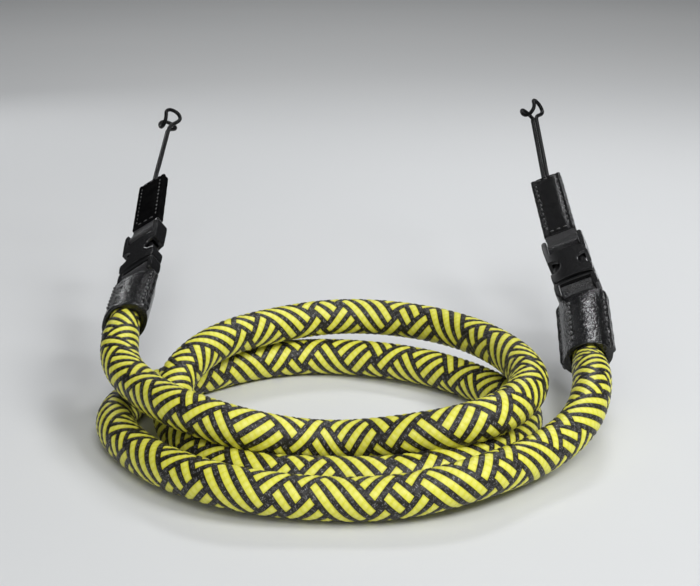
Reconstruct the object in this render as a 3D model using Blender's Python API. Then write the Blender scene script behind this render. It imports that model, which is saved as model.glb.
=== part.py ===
# Braided rope camera strap, lying with its two ends held up by their thin cord loops.
#
# Two and a half loops of rope lie on the floor. Each end of the rope is sewn into a leather sleeve,
# and a side-release buckle, a leather tab and a thin cord loop lead from there up to the cord's hitch.
# Metres, +Z up, +X to the right, +Y away from the viewer. The origin is the middle of the left hitch.

import math

import bmesh
import bpy
import numpy as np
from mathutils import Matrix, Vector

MM = 0.001

# Fits
CLEARANCE = 0.3 * MM
SEAT_DEPTH = 4.5 * MM
CORD_SEAT_DEPTH = 6.0 * MM
JOINT_ROOM = 0.9 * MM

# Rope
ROPE_DIAMETER = 9.8 * MM
ROPE_SEAT_DIAMETER = 8.2 * MM
ROPE_SEAT_DEPTH = 20.0 * MM
ROPE_FLARE_LENGTH = 9.0 * MM
ROPE_POINTS = 80
FLOOR_BELOW_EYE = 52.0 * MM

# Thin cord and its hitch
CORD_DIAMETER = 1.3 * MM
CORD_STRAND_GAP = 0.25 * MM
HITCH_EYE_DIAMETER = 3.9 * MM
HITCH_STEP = 1.25 * MM
CORD_STEP = 3.2 * MM

# Leather tab
TAB_WIDTH = 9.8 * MM
TAB_LENGTH = 33.0 * MM
TAB_EDGE_THICKNESS = 2.7 * MM
TAB_CROWN_THICKNESS = 4.2 * MM
TAB_END_THICKNESS = 3.2 * MM
TAB_CORNER = 0.7 * MM

# Leather strips that hold the buckle
STRIP_WIDTH = 8.9 * MM
STRIP_THICKNESS = 0.9 * MM
TONGUE_WIDTH = 6.4 * MM

# Buckle, socket half
SHOULDER_WIDTH = 1.7 * MM
SOCKET_WIDTH = STRIP_WIDTH + 2 * (CLEARANCE + SHOULDER_WIDTH)
SOCKET_TAPER = 0.4 * MM
SOCKET_SIDE_WALL = 1.55 * MM
SOCKET_THICKNESS = 5.4 * MM
SOCKET_EDGE_THICKNESS = 4.2 * MM
SOCKET_FROM_TAB = 4.0 * MM
SOCKET_LENGTH = 22.0 * MM
SHOULDER_LENGTH = 7.4 * MM
BAR_DIAMETER = 2.0 * MM
SOCKET_BAR_FROM_TOP = 3.2 * MM
CAVITY_WIDTH = SOCKET_WIDTH - 2 * SOCKET_SIDE_WALL
CAVITY_HEIGHT = 3.2 * MM
CAVITY_LENGTH = 13.4 * MM
WINDOW_RADIUS = 2.8 * MM
WINDOW_FROM_FOOT = 7.6 * MM
FOOT_ARCH = 0.9 * MM

# Buckle, plug half
PLUG_WIDTH = SOCKET_WIDTH
PLUG_THICKNESS = 4.8 * MM
PLUG_BASE_LENGTH = 6.6 * MM
PLUG_SLOT_START = 1.0 * MM
PRONG_WIDTH = 1.6 * MM
PRONG_LENGTH = 11.0 * MM
PRONG_BARB = 1.1 * MM
PRONG_BARB_LENGTH = 4.2 * MM
TONGUE_GUIDE_WIDTH = 2.4 * MM

# Rope-end sleeve, and how far below the tab it starts
SLEEVE_FROM_PLUG = 1.6 * MM
BUCKLE_SPAN = SOCKET_FROM_TAB + SOCKET_LENGTH + CLEARANCE + PLUG_BASE_LENGTH + SLEEVE_FROM_PLUG
SLEEVE_LENGTH = 29.0 * MM
SLEEVE_WIDTH = 15.0 * MM
SLEEVE_SEAM_WIDTH = 11.4 * MM
SLEEVE_FLANGE_THICKNESS = 2.0 * MM
SLEEVE_WALL = 1.0 * MM
SLEEVE_TOP_THICKNESS = 4.8 * MM
SLEEVE_TOP_CORNER = 3.4 * MM
SLEEVE_FOOT_CORNER = 1.6 * MM

# How each end hangs: the eye its hitch goes round, then the pitch, heading and roll in degrees of every length below it.
# Pitch is the rise towards the eye, heading turns it to the left, and roll lifts its right edge.
ENDS = {
    "left": {
        "eye": (0.0, 0.0, 0.0),
        "cord": {"length": 43.0 * MM, "pitch": 17.9, "heading": -1.5, "roll": 62.0},
        "tab": {"length": TAB_LENGTH, "pitch": 11.2, "heading": 3.5, "roll": 31.0},
        "buckle": {"length": BUCKLE_SPAN, "pitch": 13.9, "heading": 1.9, "roll": 35.0},
        "sleeve": {"length": SLEEVE_LENGTH, "pitch": 4.8, "heading": 1.2, "roll": 37.0},
    },
    "right": {
        "eye": (127.1 * MM, 0.0, 3.3 * MM),
        "cord": {"length": 50.0 * MM, "pitch": 16.0, "heading": -1.3, "roll": 45.0},
        "tab": {"length": TAB_LENGTH, "pitch": 18.0, "heading": 1.5, "roll": 24.0},
        "buckle": {"length": BUCKLE_SPAN, "pitch": 16.7, "heading": 2.9, "roll": 24.0},
        "sleeve": {"length": SLEEVE_LENGTH, "pitch": 16.6, "heading": -4.1, "roll": 26.0},
    },
}

# The rope's way between the two sleeves, chosen by eye: x, y and the height of its middle over the
# floor, in millimetres. It runs over the front, round the raised back, then twice along the floor.
ROUTE = (
    (4, -153, 17.5), (13, -170, 15.5), (24, -184.5, 16), (41, -191.5, 13.5), (58.5, -188.5, 10),
    (77, -192, 13), (94.5, -189.5, 16), (105.5, -174.5, 16.5), (107.5, -156, 16), (102.5, -137.5, 15.5),
    (92.5, -121.5, 15), (77, -111.5, 15), (58, -111, 15.5), (41.5, -119, 15.5), (27.5, -131.5, 15),
    (18, -146.5, 10.5), (18.5, -164.5, 5.5), (25.5, -181.5, 5), (38, -196, 5), (55.5, -199.5, 5.5),
    (75, -199.5, 5), (91.5, -191, 5), (102.5, -176, 5), (107, -158, 5), (100.5, -141, 5),
    (87, -127.5, 5.5), (71, -119, 5.5), (52, -115, 5), (35, -120.5, 5), (20, -132.5, 5),
    (7.5, -146, 5), (4, -164.5, 5), (11.5, -182, 5), (22.5, -196.5, 6), (38, -207.5, 6.5),
    (56.5, -210.5, 5.5), (75.5, -210, 6), (92.5, -203.5, 7.5), (106.5, -190.5, 7),
    (118.5, -177, 10), (124.5, -159, 13.5),
)

# Colours and finishes: linear RGB, roughness, metallic
FINISHES = {
    "braid": ((0.62, 0.60, 0.04), 0.55, 0.0),
    "cord": ((0.010, 0.010, 0.011), 0.6, 0.0),
    "leather": ((0.012, 0.012, 0.013), 0.35, 0.0),
    "plastic": ((0.016, 0.016, 0.017), 0.5, 0.0),
}


def clear_scene():
    for thing in list(bpy.data.objects):
        bpy.data.objects.remove(thing, do_unlink=True)


def finish(name, colour, roughness, metallic):
    material = bpy.data.materials.new(name)
    material.use_nodes = True
    shader = material.node_tree.nodes["Principled BSDF"]
    shader.inputs["Base Color"].default_value = (*colour, 1.0)
    shader.inputs["Roughness"].default_value = roughness
    shader.inputs["Metallic"].default_value = metallic
    return material


def dress(thing, kind):
    thing.data.materials.append(finish(thing.name, *FINISHES[kind]))
    if thing.type == "MESH":
        thing.data.shade_smooth()
        thing.data.set_sharp_from_angle(angle=math.radians(35))


def place(thing, matrix):
    bpy.context.scene.collection.objects.link(thing)
    thing.matrix_world = matrix
    return thing


def mesh_object(name, shape):
    bmesh.ops.recalc_face_normals(shape, faces=shape.faces)
    mesh = bpy.data.meshes.new(name)
    shape.to_mesh(mesh)
    shape.free()
    return bpy.data.objects.new(name, mesh)


def cut(target, cutter, operation="DIFFERENCE", matrix=None):
    """Cuts or joins a helper, drawn in the target's own space unless a matrix is given, and hides it."""
    place(cutter, matrix or target.matrix_world)
    cutter.hide_render = True
    cutter.display_type = "WIRE"
    modifier = target.modifiers.new(cutter.name, "BOOLEAN")
    modifier.operation = operation
    modifier.object = cutter


# Smooth curves

def spline_through(points, step):
    """Points every step or so along a natural cubic curve through the given ones."""
    points = np.array(points, float)
    chords = np.linalg.norm(np.diff(points, axis=0), axis=1)
    knots = np.concatenate([[0.0], np.cumsum(np.sqrt(chords))])
    gaps = np.diff(knots)
    count = len(points)
    system = np.eye(count)
    right = np.zeros_like(points)
    for i in range(1, count - 1):
        system[i, i - 1 : i + 2] = gaps[i - 1], 2 * (gaps[i - 1] + gaps[i]), gaps[i]
        rise = (points[i + 1] - points[i]) / gaps[i] - (points[i] - points[i - 1]) / gaps[i - 1]
        right[i] = 6 * rise
    bends = np.linalg.solve(system, right)
    fine = []
    for i, gap in enumerate(gaps):
        for t in np.linspace(0.0, 1.0, 40, endpoint=False):
            a, b = 1.0 - t, t
            bow = ((a**3 - a) * bends[i] + (b**3 - b) * bends[i + 1]) * gap * gap / 6
            fine.append(a * points[i] + b * points[i + 1] + bow)
    fine = np.array(fine + [points[-1]])
    along = np.concatenate([[0.0], np.cumsum(np.linalg.norm(np.diff(fine, axis=0), axis=1))])
    stops = np.linspace(0.0, along[-1], max(2, round(along[-1] / step) + 1))
    return np.stack([np.interp(stops, along, fine[:, k]) for k in range(3)], axis=1)


def length_of(points):
    return sum(math.dist(a, b) for a, b in zip(points, points[1:]))


def tube(name, points, diameter, resolution, thickness_at=None):
    """thickness_at gives the share of the diameter at a length along the tube."""
    data = bpy.data.curves.new(name, "CURVE")
    data.dimensions = "3D"
    data.bevel_depth = diameter / 2
    data.bevel_resolution = resolution
    data.use_fill_caps = True
    line = data.splines.new("POLY")
    line.points.add(len(points) - 1)
    for i, spot in enumerate(points):
        line.points[i].co = (*spot, 1.0)
        if thickness_at:
            line.points[i].radius = thickness_at(length_of(points[: i + 1]))
    return bpy.data.objects.new(name, data)


# Solids, drawn with x across the strap, y up it towards the eye, and z out of its front face

def slab(name, outline, low, high, axis="z"):
    """An outline of (u, v) corners extruded from low to high. u, v are x, y, or y, z across x."""
    shape = bmesh.new()
    if axis == "z":
        ring = [shape.verts.new((u, v, low)) for u, v in outline]
        push = Vector((0.0, 0.0, high - low))
    else:
        ring = [shape.verts.new((low, u, v)) for u, v in outline]
        push = Vector((high - low, 0.0, 0.0))
    face = shape.faces.new(ring)
    grown = bmesh.ops.extrude_face_region(shape, geom=[face])["geom"]
    moved = [part for part in grown if isinstance(part, bmesh.types.BMVert)]
    bmesh.ops.translate(shape, vec=push, verts=moved)
    return mesh_object(name, shape)


def box(name, low, high):
    (x0, y0, z0), (x1, y1, z1) = low, high
    return slab(name, [(x0, y0), (x1, y0), (x1, y1), (x0, y1)], z0, z1)


def rounded_corner(centre, radius, start, end, steps=4):
    """Points of an arc from start to end, in degrees."""
    for i in range(steps + 1):
        turn = math.radians(start + (end - start) * i / steps)
        yield centre[0] + radius * math.cos(turn), centre[1] + radius * math.sin(turn)


def rounded_box_outline(half_u, half_v, radius, steps=2):
    points = []
    for u, v, start in ((1, 1, 0), (-1, 1, 90), (-1, -1, 180), (1, -1, 270)):
        centre = (u * (half_u - radius), v * (half_v - radius))
        points += rounded_corner(centre, radius, start, start + 90, steps)
    return points


def lofted(name, stations, faces_across, height_at, half_width_at):
    """A closed body from stations along y: front and back skins over an across grid, joined at the rim."""
    shape = bmesh.new()
    rows = []
    for y in stations:
        half = half_width_at(y)
        front, back = [], []
        for share in faces_across:
            x = half * share
            top, bottom = height_at(share, x, y)
            front.append(shape.verts.new((x, y, top)))
            back.append(shape.verts.new((x, y, bottom)))
        rows.append(front + back[::-1])
    for near, far in zip(rows, rows[1:]):
        for i in range(len(near)):
            k = (i + 1) % len(near)
            shape.faces.new((near[i], near[k], far[k], far[i]))
    shape.faces.new(rows[0])
    shape.faces.new(rows[-1][::-1])
    return mesh_object(name, shape)


# Rope

def rope(left_sleeve, right_sleeve):
    """The rope from the bottom of one sleeve's pocket to the bottom of the other's."""
    def seat(matrix, depth):
        return matrix @ Vector((0.0, -SLEEVE_LENGTH + depth, 0.0))

    depths = (ROPE_SEAT_DEPTH, ROPE_SEAT_DEPTH / 2, 0.0)
    way = [seat(left_sleeve, depth) for depth in depths]
    way += [(x * MM, y * MM, h * MM - FLOOR_BELOW_EYE) for x, y, h in ROUTE]
    way += [seat(right_sleeve, depth) for depth in depths[::-1]]
    points = spline_through(way, length_of(way) / (ROPE_POINTS - 2))
    whole = length_of(points)
    narrow = ROPE_SEAT_DIAMETER / ROPE_DIAMETER

    def thickness(along):
        out = min(along, whole - along) - ROPE_SEAT_DEPTH
        flare = min(1.0, max(0.0, out / ROPE_FLARE_LENGTH))
        return narrow + (1 - narrow) * flare

    thing = tube("rope", points, ROPE_DIAMETER, 3, thickness)
    dress(place(thing, Matrix.Identity(4)), "braid")


# Thin cord, doubled, with a hitch at the eye

def knot_foot():
    """Where the hitch starts, as y below the eye."""
    return -1.65 * (HITCH_EYE_DIAMETER + CORD_DIAMETER)


def hitch_points():
    """One half of the hitch, from the strand up behind the eye, over it and down to the bight."""
    reach = (HITCH_EYE_DIAMETER + CORD_DIAMETER) / 2
    strand = (CORD_DIAMETER + CORD_STRAND_GAP) / 2
    # across and along as shares of the eye's reach, and depth behind or before the strands
    table = (
        {"across": 0.30, "along": knot_foot() / reach, "depth": 0.0},
        {"across": 0.34, "along": -2.3, "depth": -0.05},
        {"across": 0.45, "along": -1.45, "depth": -0.35},
        {"across": 0.62, "along": -0.70, "depth": -0.80},
        {"across": 0.78, "along": 0.10, "depth": -1.02},
        {"across": 0.92, "along": 0.80, "depth": -0.68},
        {"across": 1.00, "along": 1.05, "depth": 0.0},
        {"across": 1.04, "along": 0.75, "depth": 0.72},
        {"across": 1.05, "along": 0.0, "depth": 1.05},
        {"across": 1.00, "along": -0.75, "depth": 0.98},
        {"across": 0.62, "along": -1.42, "depth": 0.82},
    )
    points = [
        Vector((max(strand, row["across"] * reach), row["along"] * reach, row["depth"] * reach))
        for row in table
    ]
    bight = Vector((0.0, -1.68 * reach, 0.75 * reach))
    return [*points, bight]


def strand_path(side, matrix, length, tab_matrix):
    """One strand, on the left (-1) or right (1), from inside the tab to the middle of the bight."""
    strand = side * (CORD_DIAMETER + CORD_STRAND_GAP) / 2
    knot = [Vector((side * spot.x, spot.y, spot.z)) for spot in hitch_points()]
    seats = (-CORD_SEAT_DEPTH + CLEARANCE, -CORD_SEAT_DEPTH / 2)
    seated = [tab_matrix @ Vector((strand, depth, 0.0)) for depth in seats]
    runs = max(2, round((length + knot[0].y) / (3 * CORD_STEP)))
    lowest = -length + 1.5 * CORD_DIAMETER
    rise = (knot[0].y - lowest) / runs
    free = [matrix @ Vector((strand, lowest + rise * i, 0.0)) for i in range(runs)]
    knot = [matrix @ spot for spot in knot]
    straight = spline_through(seated + free + knot[:1], CORD_STEP)
    wound = spline_through(free[-1:] + knot, HITCH_STEP)
    inverse = matrix.inverted()
    start = next(i for i, spot in enumerate(wound) if (inverse @ Vector(spot)).y > knot_foot())
    return [*straight[:-1], *wound[start:]]


def cord_loop(name, matrix, length, tab_matrix):
    right = strand_path(1, matrix, length, tab_matrix)
    left = strand_path(-1, matrix, length, tab_matrix)
    thing = place(tube(name, right + left[-2::-1], CORD_DIAMETER, 2), Matrix.Identity(4))
    dress(thing, "cord")


# Leather tab, sewn round the cord's ends and the upper strip's tongue

def tab(name, matrix):
    corner = TAB_CORNER
    stations = [0.0, -corner, -TAB_LENGTH * 0.2, -TAB_LENGTH * 0.5, -TAB_LENGTH * 0.8]
    stations += [-TAB_LENGTH + corner, -TAB_LENGTH]
    across = (-1.0, -0.86, -0.66, -0.35, 0.0, 0.35, 0.66, 0.86, 1.0)

    def half_width(y):
        in_corner = y > -corner / 2 or y < -TAB_LENGTH + corner / 2
        return TAB_WIDTH / 2 - (corner * 0.3 if in_corner else 0.0)

    def heights(share, x, y):
        crown = 1 - min(1.0, abs(share) / 0.9) ** 2
        from_end = min(-y, y + TAB_LENGTH) / (TAB_LENGTH / 2)
        full = TAB_END_THICKNESS + (TAB_CROWN_THICKNESS - TAB_END_THICKNESS) * min(1.0, 2 * from_end)
        edge = TAB_EDGE_THICKNESS / 2 - (TAB_CORNER / 2 if abs(share) == 1.0 else 0.0)
        rise = edge + (full - TAB_EDGE_THICKNESS) / 2 * crown
        return rise, -rise

    thing = place(lofted(name, stations, across, heights, half_width), matrix)
    cord_width = 2 * CORD_DIAMETER + CORD_STRAND_GAP + 2 * CLEARANCE
    cord_height = CORD_DIAMETER + 2 * CLEARANCE
    pocket = box(
        name + "_cord_pocket",
        (-cord_width / 2, -CORD_SEAT_DEPTH, -cord_height / 2),
        (cord_width / 2, CORD_SEAT_DEPTH, cord_height / 2),
    )
    cut(thing, pocket)
    cut(thing, tongue_pocket(name, -TAB_LENGTH, 1))
    dress(thing, "leather")


def tongue_pocket(name, mouth, inward):
    """A pocket for a strip's doubled tongue: mouth is its y, and inward the way in along y."""
    half_width = TONGUE_WIDTH / 2 + CLEARANCE
    half_height = STRIP_THICKNESS + CLEARANCE
    ends = sorted((mouth - inward * SEAT_DEPTH, mouth + inward * SEAT_DEPTH))
    return box(
        name + "_tongue_pocket",
        (-half_width, ends[0], -half_height),
        (half_width, ends[1], half_height),
    )


# Leather strips, folded round a bar and sewn to themselves as a tongue

def strip(name, matrix, bar, mouth, inward, seat_matrix, seat_mouth):
    """bar and mouth are y in the buckle's frame, and inward is the way from bar to mouth along y.

    The tongue lies in the frame of the piece it is sewn into, whose own mouth is at seat_mouth.
    """
    inner = BAR_DIAMETER / 2 + CLEARANCE
    outer = inner + STRIP_THICKNESS
    waist = STRIP_THICKNESS
    reach = abs(mouth - bar) - JOINT_ROOM
    joined = 0.5 * reach
    loop = [(math.cos(math.radians(a)), math.sin(math.radians(a))) for a in range(-140, 141, 20)]
    # along is measured from the bar away from the mouth, height out of the front face
    outside = [(outer * c, outer * s) for c, s in loop[2:-2]]
    inside = [(inner * c, inner * s) for c, s in loop]
    legs = [(-(joined + 0.3 * reach), waist), (-reach, waist)]
    outline = [(a, -h) for a, h in legs[::-1]] + outside + legs
    hollow = inside + [(-joined, 0.0)]

    def drawn(points):
        return [(bar - inward * along, height) for along, height in points]

    thing = place(slab(name, drawn(outline), -STRIP_WIDTH / 2, STRIP_WIDTH / 2, "x"), matrix)
    cut(thing, slab(name + "_eye", drawn(hollow), -STRIP_WIDTH, STRIP_WIDTH, "x"))
    root = JOINT_ROOM + 1.5 * STRIP_THICKNESS
    ends = sorted((seat_mouth - inward * root, seat_mouth + inward * (SEAT_DEPTH - CLEARANCE)))
    tongue = box(
        name + "_tongue",
        (-TONGUE_WIDTH / 2, ends[0], -0.9 * waist),
        (TONGUE_WIDTH / 2, ends[1], 0.9 * waist),
    )
    cut(thing, tongue, "UNION", seat_matrix)
    dress(thing, "leather")


# Buckle

def socket_bar_y():
    return -SOCKET_FROM_TAB - SOCKET_BAR_FROM_TOP


def plug_bar_y():
    room = BAR_DIAMETER / 2 + CLEARANCE + STRIP_THICKNESS + CLEARANCE
    return -SOCKET_FROM_TAB - SOCKET_LENGTH - CLEARANCE - PLUG_SLOT_START - room


def bar_across(name, y, half_length):
    """The round bar that a strip is folded over."""
    radius = BAR_DIAMETER / 2
    outline = [(y + u, v) for u, v in rounded_box_outline(radius, radius, 0.9 * radius)]
    return slab(name + "_bar", outline, -half_length, half_length, "x")


def socket_half(name, matrix):
    """The upper half: shoulders and a bar for the strip, and a hollow body with a window each side."""
    top = -SOCKET_FROM_TAB
    foot = top - SOCKET_LENGTH
    body_top = top - SHOULDER_LENGTH
    half_top = SOCKET_WIDTH / 2
    half_foot = (SOCKET_WIDTH - SOCKET_TAPER) / 2
    across = (-1.0, -0.9, -0.7, -0.35, 0.0, 0.35, 0.7, 0.9, 1.0)
    shares = (0.0, 0.05, 0.14, 0.34, 0.55, 0.75, 0.92, 1.0)
    pinch = (0.90, 0.97, 1.0, 1.0, 0.98, 0.97, 1.0, 0.98)
    stations = [top - SOCKET_LENGTH * share for share in shares]

    def half_width(y):
        share = (top - y) / SOCKET_LENGTH
        straight = half_top + (half_foot - half_top) * share
        return straight * float(np.interp(share, shares, pinch))

    def heights(share, x, y):
        crown = 1 - abs(share) ** 2.2
        edge = SOCKET_EDGE_THICKNESS / 2 - (0.5 * MM if abs(share) == 1.0 else 0.0)
        rise = edge + (SOCKET_THICKNESS - SOCKET_EDGE_THICKNESS) / 2 * crown
        at_end = y > top - 0.04 * SOCKET_LENGTH or y < foot + 0.04 * SOCKET_LENGTH
        rise -= 0.4 * MM if at_end else 0.0
        return rise, -rise

    thing = place(lofted(name, stations, across, heights, half_width), matrix)
    slot_half = half_top - SHOULDER_WIDTH
    arch = [(-slot_half, body_top - 0.2 * FOOT_ARCH), (0.0, body_top + 0.6 * FOOT_ARCH)]
    arch += [(slot_half, body_top - 0.2 * FOOT_ARCH), (slot_half, top + SEAT_DEPTH)]
    arch += [(-slot_half, top + SEAT_DEPTH)]
    cut(thing, slab(name + "_slot", arch, -SOCKET_THICKNESS, SOCKET_THICKNESS))
    cut(thing, bar_across(name, socket_bar_y(), slot_half + SHOULDER_WIDTH / 2), "UNION")
    cavity = box(
        name + "_cavity",
        (-CAVITY_WIDTH / 2, foot - SEAT_DEPTH, -CAVITY_HEIGHT / 2),
        (CAVITY_WIDTH / 2, foot + CAVITY_LENGTH, CAVITY_HEIGHT / 2),
    )
    cut(thing, cavity)
    for side in (-1, 1):
        centre = (side * half_top, foot + WINDOW_FROM_FOOT)
        window = list(rounded_corner(centre, WINDOW_RADIUS, 0, 337.5, 15))
        cutter = slab(name + "_window_" + str(side + 1), window, -SOCKET_THICKNESS, SOCKET_THICKNESS)
        cut(thing, cutter)
    bow = [(-half_top, foot - SEAT_DEPTH), (half_top, foot - SEAT_DEPTH), (half_foot, foot)]
    bow += [(0.5 * half_foot, foot + 0.75 * FOOT_ARCH), (0.0, foot + FOOT_ARCH)]
    bow += [(-0.5 * half_foot, foot + 0.75 * FOOT_ARCH), (-half_foot, foot)]
    cut(thing, slab(name + "_foot", bow, -SOCKET_THICKNESS, SOCKET_THICKNESS))
    dress(thing, "plastic")


def plug_half(name, matrix):
    """The lower half: a base with a bar, a middle guide and two sprung prongs in the socket."""
    top = -SOCKET_FROM_TAB - SOCKET_LENGTH - CLEARANCE
    foot = top - PLUG_BASE_LENGTH
    half = PLUG_WIDTH / 2
    neck = (SOCKET_WIDTH - SOCKET_TAPER) / 2
    outline = [(-neck, top), (neck, top)]
    outline += [(half, top - 0.45 * PLUG_BASE_LENGTH), (half, foot + 1.0 * MM)]
    outline += [(half - 1.0 * MM, foot), (-half + 1.0 * MM, foot)]
    outline += [(-half, foot + 1.0 * MM), (-half, top - 0.45 * PLUG_BASE_LENGTH)]
    thing = slab(name, outline, -PLUG_THICKNESS / 2, PLUG_THICKNESS / 2)
    place(thing, matrix)
    soften = thing.modifiers.new("soft edges", "BEVEL")
    soften.width = 0.6 * MM
    soften.segments = 2
    soften.limit_method = "ANGLE"
    slot_half = half - SHOULDER_WIDTH
    slot = box(
        name + "_slot",
        (-slot_half, foot - SEAT_DEPTH, -PLUG_THICKNESS),
        (slot_half, top - PLUG_SLOT_START, PLUG_THICKNESS),
    )
    cut(thing, slot)
    cut(thing, bar_across(name, plug_bar_y(), slot_half + SHOULDER_WIDTH / 2), "UNION")
    inside = CAVITY_HEIGHT / 2 - CLEARANCE
    root = top - PLUG_SLOT_START / 2
    guide = box(
        name + "_guide",
        (-TONGUE_GUIDE_WIDTH / 2, root, -inside),
        (TONGUE_GUIDE_WIDTH / 2, top + PRONG_LENGTH, inside),
    )
    cut(thing, guide, "UNION")
    outer = CAVITY_WIDTH / 2 - CLEARANCE
    window = -SOCKET_FROM_TAB - SOCKET_LENGTH + WINDOW_FROM_FOOT
    for side in (-1, 1):
        edge = [
            (outer - PRONG_WIDTH, root),
            (outer, root),
            (outer, window - PRONG_BARB_LENGTH / 2),
            (outer + PRONG_BARB, window - PRONG_BARB_LENGTH / 4),
            (outer + PRONG_BARB, window + PRONG_BARB_LENGTH / 8),
            (outer, window + PRONG_BARB_LENGTH / 2),
            (outer - PRONG_WIDTH / 3, top + PRONG_LENGTH),
            (outer - PRONG_WIDTH, top + PRONG_LENGTH),
        ]
        outline = [(side * x, y) for x, y in edge]
        cut(thing, slab(name + "_prong_" + str(side + 1), outline, -inside, inside), "UNION")
    dress(thing, "plastic")


# Sleeve over the end of the rope

def sleeve(name, matrix):
    """Two skins sewn at flat flanges, bulged round the rope, with a pocket for it and one for a tongue."""
    bore = ROPE_SEAT_DIAMETER / 2 + CLEARANCE
    crown_foot = bore + SLEEVE_WALL
    crown_top = SLEEVE_TOP_THICKNESS / 2
    flange = SLEEVE_FLANGE_THICKNESS / 2
    seat_top = -(SLEEVE_LENGTH - ROPE_SEAT_DEPTH)
    shares = (0.0, 0.25, 0.5, 0.7, 0.85, 1.0, 1.08)
    profile = (1.0, 0.975, 0.89, 0.72, 0.50, 0.12, 0.0)
    across = (-1.0, -0.94, -0.86, -0.72, -0.6, -0.42, -0.2, 0.0, 0.2, 0.42, 0.6, 0.72, 0.86, 0.94, 1.0)
    corner_top = [SLEEVE_TOP_CORNER * share for share in (0.0, 0.12, 0.4, 1.0)]
    corner_foot = [SLEEVE_FOOT_CORNER * share for share in (1.0, 0.4, 0.0)]
    stations = [-a for a in corner_top] + [seat_top - 1.0 * MM, -0.55 * SLEEVE_LENGTH]
    stations += [-0.8 * SLEEVE_LENGTH] + [-SLEEVE_LENGTH + a for a in corner_foot]

    def half_width(y):
        half = SLEEVE_WIDTH / 2
        for corner, into in ((SLEEVE_TOP_CORNER, -y), (SLEEVE_FOOT_CORNER, y + SLEEVE_LENGTH)):
            if into < corner:
                rise = corner - into
                half -= 0.75 * (corner - math.sqrt(max(0.0, corner * corner - rise * rise)))
        return half

    def heights(share, x, y):
        grown = min(1.0, -y / (-seat_top + 0.5 * MM))
        crown = crown_top + (crown_foot - crown_top) * grown ** 0.6
        bump = float(np.interp(abs(x) / (SLEEVE_SEAM_WIDTH / 2), shares, profile))
        edge = flange - (0.25 * MM if abs(share) == 1.0 else 0.0)
        rise = edge + (crown - edge) * bump
        return rise, -rise

    thing = place(lofted(name, stations, across, heights, half_width), matrix)
    shape = bmesh.new()
    bmesh.ops.create_cone(
        shape,
        cap_ends=True,
        segments=20,
        radius1=bore / math.cos(math.pi / 20),
        radius2=bore / math.cos(math.pi / 20),
        depth=2 * ROPE_SEAT_DEPTH + 2 * CLEARANCE,
        matrix=Matrix.Translation((0.0, -SLEEVE_LENGTH, 0.0)) @ Matrix.Rotation(math.pi / 2, 4, "X"),
    )
    cut(thing, mesh_object(name + "_bore", shape))
    cut(thing, tongue_pocket(name, 0.0, -1))
    dress(thing, "leather")


# The two ends

def section_matrix(top, run):
    turn = Matrix.Rotation(math.radians(run["heading"]), 4, "Z")
    turn = turn @ Matrix.Rotation(math.radians(run["pitch"]), 4, "X")
    turn = turn @ Matrix.Rotation(math.radians(-run["roll"]), 4, "Y")
    return Matrix.Translation(top) @ turn


def build_end(side, hang):
    top = Vector(hang["eye"])
    frames = {}
    for part in ("cord", "tab", "buckle", "sleeve"):
        frames[part] = section_matrix(top, hang[part])
        top = frames[part] @ Vector((0.0, -hang[part]["length"], 0.0))
    cord_loop(side + "_cord_loop", frames["cord"], hang["cord"]["length"], frames["tab"])
    tab(side + "_tab", frames["tab"])
    upper = (socket_bar_y(), 0.0, 1, frames["tab"], -TAB_LENGTH)
    strip(side + "_upper_strip", frames["buckle"], *upper)
    socket_half(side + "_buckle_socket", frames["buckle"])
    plug_half(side + "_buckle_plug", frames["buckle"])
    lower = (plug_bar_y(), -BUCKLE_SPAN, -1, frames["sleeve"], 0.0)
    strip(side + "_lower_strip", frames["buckle"], *lower)
    sleeve(side + "_sleeve", frames["sleeve"])
    return frames["sleeve"]


clear_scene()
rope(*(build_end(side, hang) for side, hang in ENDS.items()))
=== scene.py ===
# Braided rope camera strap: leather sleeves, side-release buckles, tabs and thin cord loops.
# Everything is drawn in millimetres in each piece's own frame, then placed in metres.
import math

import bmesh
import bpy
import numpy as np
from mathutils import Matrix, Vector


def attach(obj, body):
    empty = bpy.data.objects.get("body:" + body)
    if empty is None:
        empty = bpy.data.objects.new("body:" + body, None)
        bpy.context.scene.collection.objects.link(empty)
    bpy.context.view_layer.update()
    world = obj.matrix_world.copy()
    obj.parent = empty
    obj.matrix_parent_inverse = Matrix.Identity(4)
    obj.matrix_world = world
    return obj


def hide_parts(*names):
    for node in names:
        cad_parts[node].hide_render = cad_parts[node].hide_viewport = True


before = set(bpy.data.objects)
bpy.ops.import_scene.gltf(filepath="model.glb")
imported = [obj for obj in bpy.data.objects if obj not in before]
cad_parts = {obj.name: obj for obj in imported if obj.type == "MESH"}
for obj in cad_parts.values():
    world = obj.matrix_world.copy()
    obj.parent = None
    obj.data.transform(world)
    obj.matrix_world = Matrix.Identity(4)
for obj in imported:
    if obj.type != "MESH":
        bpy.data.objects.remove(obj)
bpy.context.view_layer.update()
mm = 0.001
scene = bpy.context.scene
scene.view_settings.view_transform = "Standard"
print("frame loaded:", len(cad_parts), "nodes")

shot = {"place": (0.063, -0.504, 0.0908), "tilt": 73.0, "lens": 74.47, "sensor": 36.0}


def makeCamera():
    data = bpy.data.cameras.new("camera")
    data.lens = shot["lens"]
    data.sensor_width = shot["sensor"]
    data.clip_start = 0.01
    camera = bpy.data.objects.new("camera", data)
    camera.location = shot["place"]
    camera.rotation_euler = (math.radians(shot["tilt"]), 0, 0)
    scene.collection.objects.link(camera)
    scene.camera = camera


makeCamera()


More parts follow.
